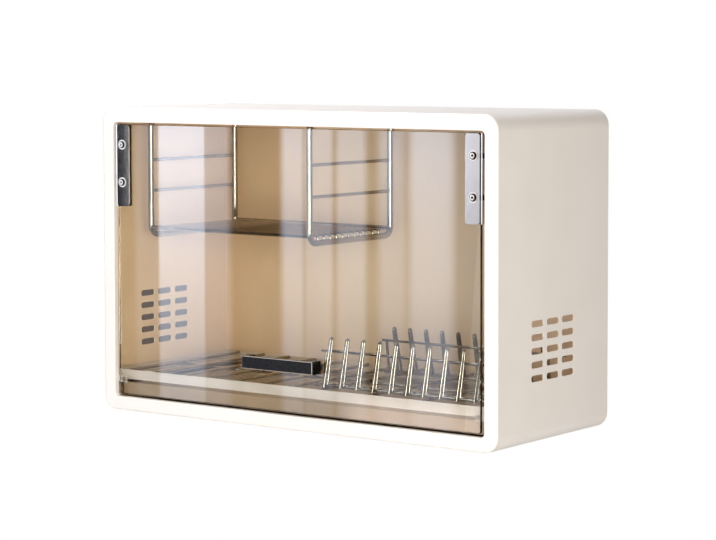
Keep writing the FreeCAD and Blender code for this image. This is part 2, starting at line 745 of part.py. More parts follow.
def make_pivots():
    """Shoulder pins with their friction washers, spring washers and lock nuts, one set each side."""
    def both_sides(name, right):
        seat(right, y=S.pivot_setback, z=PIVOT_Z)
        keep(group(name, [right, mirrored(f"{right.Name}_left", right)]))

    pin = new_body("hinge_pin")
    nut_face = BRACKET_OUTER + S.friction_gap + S.spring_washer_thickness
    nut_back = nut_face + S.lock_nut_height
    straight_rod(pin, "head", "YZ_Plane", S.pin_head_radius, EAR_INNER - S.pin_head_height, S.pin_head_height)
    straight_rod(pin, "shank", "YZ_Plane", S.pin_radius, EAR_INNER, nut_back + S.pin_tail - EAR_INNER)
    both_sides("hinge_pins", pin)

    def ring(name, radius, start, thickness):
        body = new_body(name)
        sketch = new_sketch(body, "ring", "YZ_Plane", start)
        circle(sketch, "rim", radius)
        circle(sketch, "bore", S.pin_radius + S.running_clearance)
        pad(body, sketch, thickness)
        return body

    both_sides("friction_washers",
               ring("friction_washer", S.friction_washer_radius, EAR_OUTER, S.friction_washer_thickness))
    both_sides("spring_washers",
               ring("spring_washer", S.spring_washer_radius, BRACKET_OUTER + S.friction_gap,
                    S.spring_washer_thickness))

    nut = new_body("lock_nut")
    sketch = new_sketch(nut, "hex", "YZ_Plane", nut_face)
    hexagon(sketch, S.lock_nut_radius)
    circle(sketch, "bore", S.pin_radius + S.running_clearance)
    pad(nut, sketch, S.lock_nut_height)
    both_sides("pin_lock_nuts", nut)


def make_hinge_brackets():
    """Pressed brackets: a foot on the side wall, a web across the gap and an ear for the pin."""
    body = new_body("hinge_bracket_right")
    front = S.return_depth + S.bracket_return_clearance
    web_back = S.bracket_web_setback + S.bracket_thickness
    foot_face = WALL_INSIDE - S.bracket_thickness
    foot_end = web_back + S.bracket_foot_length
    profile = new_sketch(body, "profile", "XY_Plane")
    outline(profile, "strip", [
        (BRACKET_INNER, front), (BRACKET_OUTER, front), (BRACKET_OUTER, S.bracket_web_setback),
        (WALL_INSIDE, S.bracket_web_setback), (WALL_INSIDE, foot_end), (foot_face, foot_end),
        (foot_face, web_back), (BRACKET_INNER, web_back)])
    pad(body, profile, S.bracket_height, both_ways=True)
    bore = new_sketch(body, "bore", "YZ_Plane", BRACKET_INNER - S.bracket_thickness)
    circle(bore, "pin", S.pin_radius + S.running_clearance, S.pivot_setback, ZERO)
    pocket(body, bore, S.bracket_thickness * 3, backwards=True)
    keep(seat(body, z=PIVOT_Z))
    keep(mirrored("hinge_bracket_left", body))


def make_door_stops():
    """Tabs welded behind the opening's return, with push-in rubber bumpers for the glass."""
    tab = new_body("door_stop_tab")
    tab_front = S.return_depth
    bumper_x = HALF_OPENING - S.bumper_inset
    bumper_z = S.stop_tab_height / 2
    sketch = new_sketch(tab, "tab", "XZ_Plane")
    rectangle(sketch, "edge", HALF_OPENING - S.stop_tab_reach, HALF_OPENING + S.sheet, ZERO,
              S.stop_tab_height)
    circle(sketch, "bore", S.bumper_stem_radius + S.running_clearance, bumper_x, bumper_z)
    pad(tab, sketch, S.sheet, backwards=True)
    seat(tab, y=tab_front, z=S.stop_tab_floor)
    keep(group("door_stop_tabs", [tab, mirrored("door_stop_tab_left", tab)]))

    bumper = new_body("door_bumper")
    face = tab_front - GLASS_BACK
    straight_rod(bumper, "face", "XZ_Plane", S.bumper_radius, ZERO, face)
    straight_rod(bumper, "stem", "XZ_Plane", S.bumper_stem_radius, -S.sheet, S.sheet)
    straight_rod(bumper, "barb", "XZ_Plane", S.bumper_barb_radius, -S.sheet - S.bumper_barb_length,
                 S.bumper_barb_length)
    seat(bumper, bumper_x, tab_front, S.stop_tab_floor + bumper_z)
    keep(group("door_bumpers", [bumper, mirrored("door_bumper_left", bumper)]))


def make_handle():
    """A flat bar bent to a shallow U, held by two screws through the glass."""
    body = new_body("door_handle")
    half = S.handle_length / 2
    inner = half - S.handle_leg
    back = S.handle_projection
    profile = new_sketch(body, "profile", "XY_Plane")
    outline(profile, "bar", [(-half, ZERO), (half, ZERO), (half, back), (inner, back), (inner, S.handle_bar),
                             (-inner, S.handle_bar), (-inner, back), (-half, back)])
    bar = pad(body, profile, S.handle_height, both_ways=True)
    fillet(body, bar, S.handle_edge_radius, "rounded_edges", lambda edge: edge.BoundBox.YMax < TOUCH)
    holes = new_sketch(body, "holes", "XZ_Plane", -back)
    for number, side in enumerate((-1, 1)):
        circle(holes, f"thread_{number}", S.handle_screw_radius + S.running_clearance,
               HANDLE_SCREW_REACH * side)
    pocket(body, holes, S.handle_screw_engagement, backwards=True)
    keep(seat(body, S.handle_shift, S.glass_setback - S.handle_projection, HANDLE_MIDDLE))

    washer = new_body("handle_washer")
    sketch = new_sketch(washer, "ring", "XZ_Plane")
    circle(sketch, "rim", S.handle_washer_radius)
    circle(sketch, "bore", S.handle_screw_radius + S.screw_clearance)
    pad(washer, sketch, S.handle_washer_thickness, backwards=True)
    keep(copies("handle_washers", washer, [(x, GLASS_BACK, HANDLE_MIDDLE) for x in HANDLE_PLACES]))

    screw = new_body("handle_screw")
    shank = S.handle_washer_thickness + S.glass_thickness + S.handle_screw_engagement - S.running_clearance
    straight_rod(screw, "head", "XZ_Plane", S.handle_head_radius, -S.handle_head_height, S.handle_head_height)
    straight_rod(screw, "shank", "XZ_Plane", S.handle_screw_radius, ZERO, shank)
    head_face = GLASS_BACK + S.handle_washer_thickness
    keep(copies("handle_screws", screw, [(x, head_face, HANDLE_MIDDLE) for x in HANDLE_PLACES]))


# Rack: a folded frame with round rods and rows of hairpins, on runners along the side walls
def make_runners():
    """Channels that carry the rack on top and let the drip tray slide inside."""
    body = new_body("tray_runner_right")
    profile = new_sketch(body, "profile", "XZ_Plane")
    inner = WALL_INSIDE - S.runner_reach
    web = WALL_INSIDE - S.sheet
    outline(profile, "channel", [
        (inner, ZERO), (WALL_INSIDE, ZERO), (WALL_INSIDE, S.runner_height), (inner, S.runner_height),
        (inner, S.runner_height - S.sheet), (web, S.runner_height - S.sheet),
        (web, S.sheet), (inner, S.sheet)])
    pad(body, profile, BACK_INSIDE - S.runner_setback - S.runner_back_gap, backwards=True)
    keep(seat(body, y=S.runner_setback, z=S.runner_floor))
    keep(mirrored("tray_runner_left", body))


def make_drip_tray():
    """A shallow open tray with a wide front, whose side flanges slide in the runners."""
    body = new_body("drip_tray")
    half = S.width / 2 - S.tray_side_inset
    flange_floor = S.runner_floor + S.sheet + S.tray_seat_gap - S.tray_floor
    flange_top = flange_floor + S.sheet
    width = half * 2
    length = BACK_INSIDE - S.tray_setback - S.tray_back_gap
    plan = new_sketch(body, "plan", "XY_Plane")
    middle = length / 2
    rounded_rectangle(plan, "outer", width, length, S.tray_corner_radius, ZERO, middle)
    pad(body, plan, flange_top)
    flanges = new_sketch(body, "flanges", "XY_Plane", flange_floor)
    rounded_rectangle(flanges, "outer", width + S.tray_flange_reach * 2, length - S.sheet * 2,
                      S.tray_corner_radius, ZERO, middle)
    pad(body, flanges, S.sheet)
    hollow = new_sketch(body, "hollow", "XY_Plane", flange_top + S.sheet)
    rounded_rectangle(hollow, "inner", width - S.sheet * 2, length - S.sheet * 2,
                      S.tray_corner_radius - S.sheet, ZERO, middle)
    pocket(body, hollow, flange_top)
    front = new_sketch(body, "front", "XZ_Plane")
    rounded_rectangle(front, "edge", width + S.tray_flange_reach * 2, S.tray_front_height,
                      S.tray_front_radius, ZERO, S.tray_front_height / 2)
    pad(body, front, S.sheet, backwards=True)
    keep(seat(body, y=S.tray_setback, z=S.tray_floor))


def make_rack_frame():
    """A hemmed lip in front, its like behind, and angles down the sides."""
    lip = new_body("rack_front_lip")
    profile = new_sketch(lip, "profile", "YZ_Plane")
    hem_floor = S.lip_height - S.lip_hem_height
    outline(profile, "fold", [
        (ZERO, ZERO), (S.lip_flange, ZERO), (S.lip_flange, S.sheet), (S.sheet, S.sheet), (S.sheet, hem_floor),
        (S.sheet * 2, hem_floor), (S.sheet * 2, S.lip_height), (ZERO, S.lip_height)])
    pad(lip, profile, HALF_RACK * 2, both_ways=True)
    keep(seat(lip, y=S.lip_setback, z=RACK_FLOOR))
    keep(mirrored("rack_rear_lip", lip, Vector(0, 1, 0), "y", RACK_MIDDLE - S.depth))

    side = new_body("rack_side_angle_right")
    web = new_sketch(side, "web", "XZ_Plane")
    rectangle(web, "edge", HALF_RACK - S.sheet, HALF_RACK, ZERO, S.lip_height)
    pad(side, web, ROD_LENGTH, backwards=True)
    foot_start = S.lip_flange - S.sheet * 2
    foot = new_sketch(side, "foot", "XZ_Plane", -foot_start)
    rectangle(foot, "edge", HALF_RACK - S.lip_flange, HALF_RACK, ZERO, S.sheet)
    pad(side, foot, ROD_LENGTH - foot_start * 2, backwards=True)
    corner = new_sketch(side, "corner", "XZ_Plane")
    rectangle(corner, "cut", HALF_RACK - S.lip_flange, HALF_RACK + S.sheet, -S.sheet, S.sheet)
    pocket(side, corner, foot_start)
    rear_start = ROD_LENGTH - foot_start
    rear_corner = new_sketch(side, "rear_corner", "XZ_Plane", -rear_start)
    rectangle(rear_corner, "cut", HALF_RACK - S.lip_flange, HALF_RACK + S.sheet, -S.sheet, S.sheet)
    pocket(side, rear_corner, foot_start)
    keep(seat(side, y=ROD_START, z=RACK_FLOOR))
    keep(mirrored("rack_side_angle_left", side))


def make_rack_rods():
    """Round rods from lip to lip, close together on the left, and a bar that ties them."""
    left = new_body("rack_rods_left")
    rod = straight_rod(left, "rod", "XZ_Plane", S.rod_radius, -ROD_LENGTH, ROD_LENGTH)
    row_of(left, rod, "X_Axis", S.left_rod_pitch, S.left_rod_count)
    keep(seat(left, S.left_rod_inset - HALF_RACK, ROD_START, ROD_HEIGHT))

    right = new_body("rack_rods_right")
    rod = straight_rod(right, "rod", "XZ_Plane", S.rod_radius, -ROD_LENGTH, ROD_LENGTH)
    row_of(right, rod, "X_Axis", S.right_rod_pitch, S.right_rod_count, backwards=True)
    keep(seat(right, HALF_RACK - S.right_rod_inset, ROD_START, ROD_HEIGHT))

    bar = new_body("rack_cross_bar")
    half = HALF_RACK - S.sheet
    straight_rod(bar, "bar", "YZ_Plane", S.rod_radius, -half, half * 2)
    keep(seat(bar, y=RACK_MIDDLE, z=ROD_HEIGHT - S.rod_radius * 2))


# Dividers: a row of narrow hairpins in front and its like behind
HAIRPIN_CENTRE = S.divider_setback + S.divider_foot_gap / 2
CROWN_HEIGHT = S.divider_height - S.divider_bend_radius
FRONT_REST_RAIL = S.divider_setback + S.divider_foot_gap + S.rest_rail_setback
REAR_ROW_PLANE = FRONT_REST_RAIL + S.rest_rail_gap / 2


def hairpin_middle(height):
    """How far back the middle of a hairpin leans at a height above its feet."""
    return S.divider_lean * height / CROWN_HEIGHT


def hairpin_half_gap(height):
    """Half the distance between the axes of a hairpin's legs at a height above its feet."""
    return S.divider_foot_gap / 2 - (S.divider_foot_gap / 2 - S.divider_bend_radius) * height / CROWN_HEIGHT


def make_dividers():
    pins = new_body("divider_hairpins_front")
    path = new_sketch(pins, "path", "YZ_Plane")
    half_gap, bend = S.divider_foot_gap / 2, S.divider_bend_radius
    foot, turn = Vector(half_gap.number, 0, 0), Vector(bend.number, 0, 0)
    crown = Vector(S.divider_lean.number, CROWN_HEIGHT.number, 0)
    front = path.addGeometry(Part.LineSegment(-foot, crown - turn))
    arc = path.addGeometry(Part.ArcOfCircle(Part.Circle(crown, Vector(0, 0, 1), bend.number), 0, math.pi))
    rear = path.addGeometry(Part.LineSegment(crown + turn, foot))
    path.addConstraint(Sketcher.Constraint("Tangent", front, 2, arc, 2))
    path.addConstraint(Sketcher.Constraint("Tangent", arc, 1, rear, 1))
    dimension(path, "Radius", (arc,), bend, "bend")
    locate(path, arc, 3, S.divider_lean, CROWN_HEIGHT, "crown")
    locate(path, front, 1, -half_gap, ZERO, "front_foot")
    locate(path, rear, 2, half_gap, ZERO, "rear_foot")
    wire = bent_rod(pins, path, "XY_Plane", S.divider_wire_radius, ZERO, -half_gap)
    row_of(pins, wire, "X_Axis", S.divider_pitch, S.divider_count)
    rail_end = HALF_RACK - S.divider_side_gap
    last = rail_end - S.divider_tail
    first = last - S.divider_pitch * (S.divider_count - 1)
    keep(seat(pins, first, HAIRPIN_CENTRE, DIVIDER_FOOT))
    rail_start = first - S.divider_rail_overhang
    rail_length = rail_end - rail_start

    base = new_body("divider_base_rail_front")
    straight_rod(base, "rail", "YZ_Plane", S.divider_base_rail_radius, ZERO, rail_length)
    base_lift = S.divider_base_rail_radius - S.divider_lift
    keep(seat(base, rail_start, HAIRPIN_CENTRE + hairpin_middle(base_lift), DIVIDER_FOOT + base_lift))

    cross = new_body("divider_cross_rail_front")
    straight_rod(cross, "rail", "YZ_Plane", S.divider_wire_radius, ZERO, rail_length)
    behind = hairpin_middle(S.divider_rail_height) + hairpin_half_gap(S.divider_rail_height)
    cross_setback = HAIRPIN_CENTRE + behind + S.divider_wire_radius * 2 + S.divider_weld_gap
    keep(seat(cross, rail_start, cross_setback, DIVIDER_RAIL_Z))

    rail_top = REST_RAIL_HEIGHT + S.rest_rail_radius
    rail_under = DIVIDER_RAIL_Z - S.divider_wire_radius
    post = new_body("divider_post")
    foot = new_sketch(post, "foot", "XY_Plane")
    circle(foot, "foot", S.divider_wire_radius)
    head = new_sketch(post, "head", "XY_Plane", rail_under - rail_top)
    circle(head, "head", S.divider_wire_radius, ZERO, cross_setback - FRONT_REST_RAIL)
    loft = post.newObject("PartDesign::AdditiveLoft", "divider_post_loft")
    loft.Profile = foot
    loft.Sections = [head]
    loft.Ruled = True
    post_places = [(first - S.divider_post_offset, FRONT_REST_RAIL, rail_top),
                   (last + S.divider_post_offset, FRONT_REST_RAIL, rail_top)]
    posts = keep(copies("divider_posts_front", post, post_places))

    rails = new_body("rest_rail_front")
    straight_rod(rails, "rail", "YZ_Plane", S.rest_rail_radius, ZERO, rail_length)
    keep(seat(rails, rail_start, FRONT_REST_RAIL, REST_RAIL_HEIGHT))

    rear = Vector(0, 1, 0)
    plane = REAR_ROW_PLANE - S.depth
    for source in (pins, base, cross, posts, rails):
        keep(mirrored(source.Name.replace("_front", "_rear"), source, rear, "y", plane))


# Upper basket: two looped side frames of tube, joined by rails and a floor of wires
BASKET_LEFT = S.basket_wall_gap - WALL_INSIDE
BASKET_RIGHT = BASKET_LEFT + S.basket_span
BASKET_BACK = BACK_INSIDE - S.basket_back_gap
BASKET_TOP = ROOF_INSIDE - S.basket_roof_gap
BASKET_FLOOR = BASKET_TOP - S.basket_height


def make_basket_frames():
    height = BASKET_TOP - BASKET_FLOOR
    length = BASKET_BACK - S.basket_front
    middle_y = (BASKET_BACK + S.basket_front) / 2
    middle_z = (BASKET_TOP + BASKET_FLOOR) / 2
    for name, x in (("basket_side_frame_left", BASKET_LEFT), ("basket_side_frame_right", BASKET_RIGHT)):
        body = new_body(name)
        path = new_sketch(body, "loop", "YZ_Plane")
        rounded_rectangle(path, "axis", length, height, S.basket_bend_radius)
        bent_rod(body, path, "XZ_Plane", S.basket_tube_radius, ZERO, height / 2)
        keep(seat(body, x, middle_y, middle_z))

    rail = new_body("basket_side_rail")
    reach = length - S.basket_tube_radius * 2
    straight_rod(rail, "rail", "XZ_Plane", S.basket_rail_radius, -reach, reach)
    places = [(x, S.basket_front + S.basket_tube_radius, z) for x in (BASKET_LEFT, BASKET_RIGHT)
              for z in (BASKET_FLOOR + S.basket_lower_rail, BASKET_FLOOR + S.basket_upper_rail)]
    keep(copies("basket_side_rails", rail, places))


def make_basket_floor():
    between = S.basket_span - S.basket_tube_radius * 2
    edges = (("basket_front_rail", S.basket_front + S.basket_edge_rail_inset),
             ("basket_rear_rail", BASKET_BACK - S.basket_edge_rail_inset))
    for name, y in edges:
        rail = new_body(name)
        straight_rod(rail, "rail", "YZ_Plane", S.basket_edge_rail_radius, ZERO, between)
        keep(seat(rail, BASKET_LEFT + S.basket_tube_radius, y, BASKET_FLOOR + S.basket_edge_rail_lift))

    wires = new_body("basket_floor_wires")
    path = new_sketch(wires, "staple", "XZ_Plane")
    half = S.basket_span / 2
    drop = S.basket_wire_lift - S.basket_tube_radius
    outline(path, "run", [(-half, -drop), (-half, ZERO), (half, ZERO), (half, -drop)], closed=False)
    wire = bent_rod(wires, path, "XY_Plane", S.basket_wire_radius, -half, ZERO, -drop)
    spread = BASKET_BACK - S.basket_wire_rear_inset - S.basket_front - S.basket_wire_inset
    row_of(wires, wire, "Y_Axis", spread / (S.basket_wire_count - 1), S.basket_wire_count)
    middle = (BASKET_LEFT + BASKET_RIGHT) / 2
    keep(seat(wires, middle, S.basket_front + S.basket_wire_inset, BASKET_FLOOR + S.basket_wire_lift))


def make_basket_hangers():
    """J-shaped strips under the roof that cradle the top runs of the side frames."""
    hanger = new_body("basket_hanger")
    gap = S.basket_tube_radius + S.hanger_seat_gap
    outer = gap + S.hanger_strip
    roof = ROOF_INSIDE - BASKET_TOP
    profile = new_sketch(hanger, "profile", "XZ_Plane")
    outline(profile, "strip", [
        (outer, -outer), (-outer, -outer), (-outer, S.hanger_lip - outer), (-gap, S.hanger_lip - outer),
        (-gap, -gap), (gap, -gap), (gap, roof), (outer + S.hanger_foot, roof),
        (outer + S.hanger_foot, roof - S.hanger_strip), (outer, roof - S.hanger_strip)])
    pad(hanger, profile, S.hanger_width, both_ways=True)
    rows = (S.basket_front + S.hanger_inset, BASKET_BACK - S.hanger_inset)
    places = [(x, y, BASKET_TOP) for x in (BASKET_LEFT, BASKET_RIGHT) for y in rows]
    keep(copies("basket_hangers", hanger, places))


def check_document():
    """Stop before anything is written if an object failed or a sub-part isn't sound."""
    for item in doc.Objects:
        if "Invalid" in item.State or "Error" in item.State:
            raise RuntimeError(f"{item.Name} did not compute: {item.State}")
    for piece in SUBPARTS:
        if piece.Shape.isNull() or not piece.Shape.isValid():
            raise RuntimeError(f"{piece.Label} has no sound shape")


make_casing()
make_back_panel()
make_hinge_brackets()
make_door_stops()
make_runners()
make_rack_frame()
make_rack_rods()
make_dividers()
make_basket_frames()
make_basket_floor()
make_basket_hangers()
make_door_glass()
make_cover_plates()
make_gaskets()
make_hinge_leaves()
make_clamp_fasteners()
make_pivots()
make_handle()
make_drip_tray()
doc.recompute()
check_document()
for piece in SUBPARTS:
    piece.Shape.exportStep(f"parts/{piece.Label}.step")
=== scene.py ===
import math
import bpy
from mathutils import Matrix, Vector


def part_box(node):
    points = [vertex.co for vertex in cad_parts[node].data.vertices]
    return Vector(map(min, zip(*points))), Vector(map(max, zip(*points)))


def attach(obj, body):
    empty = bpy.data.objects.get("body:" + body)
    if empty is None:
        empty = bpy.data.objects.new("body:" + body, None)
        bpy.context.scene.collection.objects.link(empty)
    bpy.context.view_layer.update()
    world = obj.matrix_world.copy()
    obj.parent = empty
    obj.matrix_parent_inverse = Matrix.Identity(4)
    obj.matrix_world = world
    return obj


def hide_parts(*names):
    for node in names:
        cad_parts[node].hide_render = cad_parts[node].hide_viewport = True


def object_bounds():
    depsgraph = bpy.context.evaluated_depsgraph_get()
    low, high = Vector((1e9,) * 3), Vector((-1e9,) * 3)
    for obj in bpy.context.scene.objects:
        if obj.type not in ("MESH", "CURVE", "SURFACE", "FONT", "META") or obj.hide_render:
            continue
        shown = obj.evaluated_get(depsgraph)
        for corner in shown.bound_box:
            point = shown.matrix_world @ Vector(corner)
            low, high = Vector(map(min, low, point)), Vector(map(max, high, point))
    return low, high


# Looks of a wall dish drainer cabinet, dressed on its packed construction model. Lengths are metres.
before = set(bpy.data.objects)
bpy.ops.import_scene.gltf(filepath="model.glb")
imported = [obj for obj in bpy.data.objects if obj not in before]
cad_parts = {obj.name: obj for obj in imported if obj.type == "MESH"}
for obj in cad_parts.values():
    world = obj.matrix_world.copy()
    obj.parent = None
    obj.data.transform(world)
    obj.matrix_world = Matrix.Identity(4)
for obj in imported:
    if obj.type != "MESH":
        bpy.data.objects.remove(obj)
cad_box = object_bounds()

# Casing: 1.2 mm sheet steel, folded and pressed, then powder coated in a warm white satin.
# Faces in the hollow take a darker warm tan, painted shade for the inside that less light reaches; faces
# outside and near the front keep the warm white.
# The cured powder keeps a faint orange peel, which only shows where light grazes it.
MM = 0.001
CABINET_MIDDLE = (Vector(cad_box[0]) + Vector(cad_box[1])) / 2
CASING_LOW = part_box("casing")[0]
FRONT_REACH = 20 * MM
COAT_CLOUD = 90 * MM
COAT_PATCH = 25 * MM
ORANGE_PEEL = 2.4 * MM
THIN_COAT = "#FBFAF8"
# Nearly all of a noise lies in this part of its range, so this part is spread over what it drives.
NOISE_MIDDLE = {"From Min": 0.3, "From Max": 0.7}


def linear(code):
    """A colour given as sRGB hex, in the linear light that the shaders mix."""
    channels = [int(code[place:place + 2], 16) / 255 for place in (1, 3, 5)]
    return tuple(c / 12.92 if c <= 0.04045 else ((c + 0.055) / 1.055) ** 2.4 for c in channels) + (1.0,)


def add(owner, kind, settings=None, links=None, output=0):
    """One node with its settings and links, each by name or number, and the output that it is used for."""
    node = owner.node_tree.nodes.new(kind)
    for name, value in (settings or {}).items():
        if isinstance(name, str) and hasattr(node, name):
            setattr(node, name, value)
        else:
            node.inputs[name].default_value = value
    for name, source in (links or {}).items():
        owner.node_tree.links.new(source, node.inputs[name])
    return node.outputs[output] if node.outputs else None


def new_material(name):
    """A material with nothing in it yet."""
    material = bpy.data.materials.new(name)
    material.use_nodes = True
    material.node_tree.nodes.clear()
    return material


def noise(material, size, detail=2.0, stretch=(1.0, 1.0, 1.0)):
    """Lumps about size metres across, drawn out along an axis by stretch."""
    place = add(material, "ShaderNodeTexCoord", output="Object")
    scale = [1 / (size * factor) for factor in stretch]
    moved = add(material, "ShaderNodeMapping", {"Scale": scale}, {"Vector": place})
    return add(material, "ShaderNodeTexNoise", {"Scale": 1.0, "Detail": detail}, {"Vector": moved}, "Fac")


def surface(material, settings, colour, roughness, relief=None, strength=0.0, depth=0.0):
    """Close a material with one shader for a solid finish, with or without a fine relief."""
    links = {"Base Color": colour, "Roughness": roughness}
    if relief is not None:
        links["Normal"] = add(material, "ShaderNodeBump", {"Strength": strength, "Distance": depth},
                              {"Height": relief})
    shader = add(material, "ShaderNodeBsdfPrincipled", settings, links)
    add(material, "ShaderNodeOutputMaterial", {}, {"Surface": shader})


def dress(node, material):
    """Give a CAD piece its finish."""
    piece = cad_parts[node]
    piece.data.materials.clear()
    piece.data.materials.append(material)


def powder_coat(name, outside, hollow):
    """Satin polyester powder: one tone on faces that look away from the cabinet's middle or lie near the
    front, one on the others, which on the casing is painted shade.
    """
    material = new_material(name)
    place = add(material, "ShaderNodeTexCoord", output="Object")
    normal = add(material, "ShaderNodeTexCoord", output="Normal")
    offset = add(material, "ShaderNodeVectorMath", {"operation": "SUBTRACT", 1: CABINET_MIDDLE}, {0: place})
    facing = add(material, "ShaderNodeVectorMath", {"operation": "DOT_PRODUCT"},
                 {0: offset, 1: normal}, "Value")
    away = add(material, "ShaderNodeMath", {"operation": "GREATER_THAN", 1: 0.0}, {0: facing})
    depth = add(material, "ShaderNodeSeparateXYZ", {}, {"Vector": place}, "Y")
    # Faces that look away, or lie within the front reach, take the outer tone; the rest take the hollow tone.
    front_reach_to = CASING_LOW.y + FRONT_REACH
    in_front = add(material, "ShaderNodeMath", {"operation": "LESS_THAN", 1: front_reach_to}, {0: depth})
    outer_or_front = add(material, "ShaderNodeMath", {"operation": "MAXIMUM"}, {0: away, 1: in_front})
    coat = add(material, "ShaderNodeMix", {"data_type": "RGBA", 6: linear(hollow), 7: linear(outside)},
               {0: outer_or_front}, 2)
    cloud = add(material, "ShaderNodeMapRange", {**NOISE_MIDDLE, "To Max": 0.7},
                {"Value": noise(material, COAT_CLOUD)})
    thinning = {"data_type": "RGBA", "blend_type": "MULTIPLY", 7: linear(THIN_COAT)}
    uneven = add(material, "ShaderNodeMix", thinning, {0: cloud, 6: coat}, 2)
    satin = add(material, "ShaderNodeMapRange", {**NOISE_MIDDLE, "To Min": 0.36, "To Max": 0.46},
                {"Value": noise(material, COAT_PATCH)})
    surface(material, {"IOR": 1.5}, uneven, satin, noise(material, ORANGE_PEEL, 3.0), 0.10, 0.12 * MM)
    return material


# The casing's hollow tone is a darker warm tan: painted shade for the inside of the cabinet.
white_coat = powder_coat("powder_coated_steel_warm_white", "#F5F3F0", "#E2C4A3")
dress("casing", white_coat)

# Back panel: the same coated sheet, spot welded inside the rear flange.
# It faces the door, so all that shows is the hollow's tan, which is painted shade.
dress("back_panel", white_coat)

# Hinge brackets: pressed steel strip, zinc plated and passivated to a pale blue grey.
# Each has a foot welded to a side wall and an ear for the hinge pin.
# The plating grew in small crystals, so its shine is a little patchy.
ZINC_GRIT = 0.8 * MM
# Real crystals are much finer, and are drawn as coarse as they need to show.
ZINC_CRYSTAL = 3 * MM


def zinc_plate(name):
    material = new_material(name)
    place = add(material, "ShaderNodeTexCoord", output="Object")
    crystals = add(material, "ShaderNodeTexVoronoi", {"Scale": 1 / ZINC_CRYSTAL}, {"Vector": place}, "Color")
    shade = add(material, "ShaderNodeSeparateXYZ", {}, {"Vector": crystals}, "X")
    tone = add(material, "ShaderNodeMix", {"data_type": "RGBA", 6: linear("#B4B6BA"), 7: linear("#CDCFD3")},
               {0: shade}, 2)
    shine = add(material, "ShaderNodeMapRange", {"To Min": 0.28, "To Max": 0.42}, {"Value": shade})
    surface(material, {"Metallic": 1.0}, tone, shine, noise(material, ZINC_GRIT), 0.08, 0.05 * MM)
    return material


zinc = zinc_plate("zinc_plated_steel")
for node in ("hinge_bracket_left", "hinge_bracket_right"):
    dress(node, zinc)

# Door stops: tabs welded behind the opening, in the off-white coat of the rack, each with a push-in bumper.
# The bumpers' rubber is moulded and matt, pale like the coat behind it, with a fine dusty bloom.
RUBBER_BLOOM = 4 * MM
RUBBER_PATCH = 1.5 * MM
MOULD_GRIT = 0.5 * MM


def two_tones(material, pattern, deep, bright):
    """A noise turned into colours from deep to bright."""
    share = add(material, "ShaderNodeMapRange", NOISE_MIDDLE, {"Value": pattern})
    colours = {"data_type": "RGBA", 6: linear(deep), 7: linear(bright)}
    return add(material, "ShaderNodeMix", colours, {0: share}, 2)


def moulded_rubber(name, deep, dusty):
    material = new_material(name)
    bloom = two_tones(material, noise(material, RUBBER_BLOOM), deep, dusty)
    matt = add(material, "ShaderNodeMapRange", {**NOISE_MIDDLE, "To Min": 0.6, "To Max": 0.8},
               {"Value": noise(material, RUBBER_PATCH)})
    surface(material, {"IOR": 1.52}, bloom, matt, noise(material, MOULD_GRIT), 0.15, 0.05 * MM)
    return material


lip_coat = powder_coat("powder_coated_steel_off_white", "#CDBDB4", "#D6C4B0")
dress("door_stop_tabs", lip_coat)
dress("door_bumpers", moulded_rubber("moulded_pale_rubber", "#B9ADA2", "#C8BDB2"))

# Tray runners: zinc plated channels on the side walls, which carry the rack on top
# and let the flanges of the drip tray slide inside.
for node in ("tray_runner_left", "tray_runner_right"):
    dress(node, zinc)

# Rack frame: two hemmed lips and two side angles of coated sheet steel, welded at the corners.
# The front lip shows as an off-white strip across the cabinet.
for node in ("rack_front_lip", "rack_rear_lip", "rack_side_angle_left", "rack_side_angle_right"):
    dress(node, lip_coat)

# Rack rods: stainless wire, drawn through a die and then electropolished, welded to the lips.
# Drawing leaves hair lines along the wire, which break its mirror up a little.
# They are drawn coarser than real, so that they show.
DRAWN_LINE = 0.7 * MM
DRAWN_OUT = 60.0
WIRE_TONES = ("#A29B93", "#BDB7AF")
WIRE_POLISH = (0.05, 0.10)
WIRE_RELIEF = 0.03 * MM


def worked_steel(name, mark, stretch, tones, polish, depth, strength=0.05, detail=3.0, metallic=1.0):
    """Stainless steel with the marks that its working left, as wide as mark and drawn out by stretch."""
    material = new_material(name)
    marks = noise(material, mark, detail, stretch)
    smooth, rough = polish
    shine = add(material, "ShaderNodeMapRange", {**NOISE_MIDDLE, "To Min": smooth, "To Max": rough},
                {"Value": marks})
    tone = two_tones(material, marks, *tones)
    surface(material, {"Metallic": metallic}, tone, shine, marks, strength, depth)
    return material


WIRES = {}
for axis, course in (("x", "across"), ("y", "to_the_back"), ("z", "upright")):
    stretch = [DRAWN_OUT if other == axis else 1.0 for other in "xyz"]
    name = f"electropolished_wire_{course}"
    WIRES[axis] = worked_steel(name, DRAWN_LINE, stretch, WIRE_TONES, WIRE_POLISH, WIRE_RELIEF)

for node in ("rack_rods_left", "rack_rods_right"):
    dress(node, WIRES["y"])
dress("rack_cross_bar", WIRES["x"])

# Dividers: leaning hairpins of 4 mm wire, welded to a base rail and held by a cross rail
# behind, with two posts down to a rest rail. The rear row is the same, turned round.
for row in ("front", "rear"):
    dress(f"divider_hairpins_{row}", WIRES["z"])
    dress(f"divider_posts_{row}", WIRES["z"])
    for rail in ("divider_base_rail", "divider_cross_rail", "rest_rail"):
        dress(f"{rail}_{row}", WIRES["x"])

# Upper basket: two closed loops of 9 mm tube with rails between, and a floor of wires.
# It hangs by the loops' top runs in zinc plated J strips under the roof.
for side in ("left", "right"):
    dress(f"basket_side_frame_{side}", WIRES["y"])
dress("basket_side_rails", WIRES["y"])
for rail in ("basket_front_rail", "basket_rear_rail"):
    dress(rail, WIRES["x"])
dress("basket_hangers", zinc)

# Basket floor: 4 mm wires whose ends are bent down over the edge rails with a round corner.
# They stand in for the mitred wires of the construction model, in the same places.
WIRE_RADIUS = 2 * MM
WIRE_BEND = 4 * MM
FLOOR_WIRES = 11
ARC_STEPS = 6
WIRE_ROUNDNESS = 5


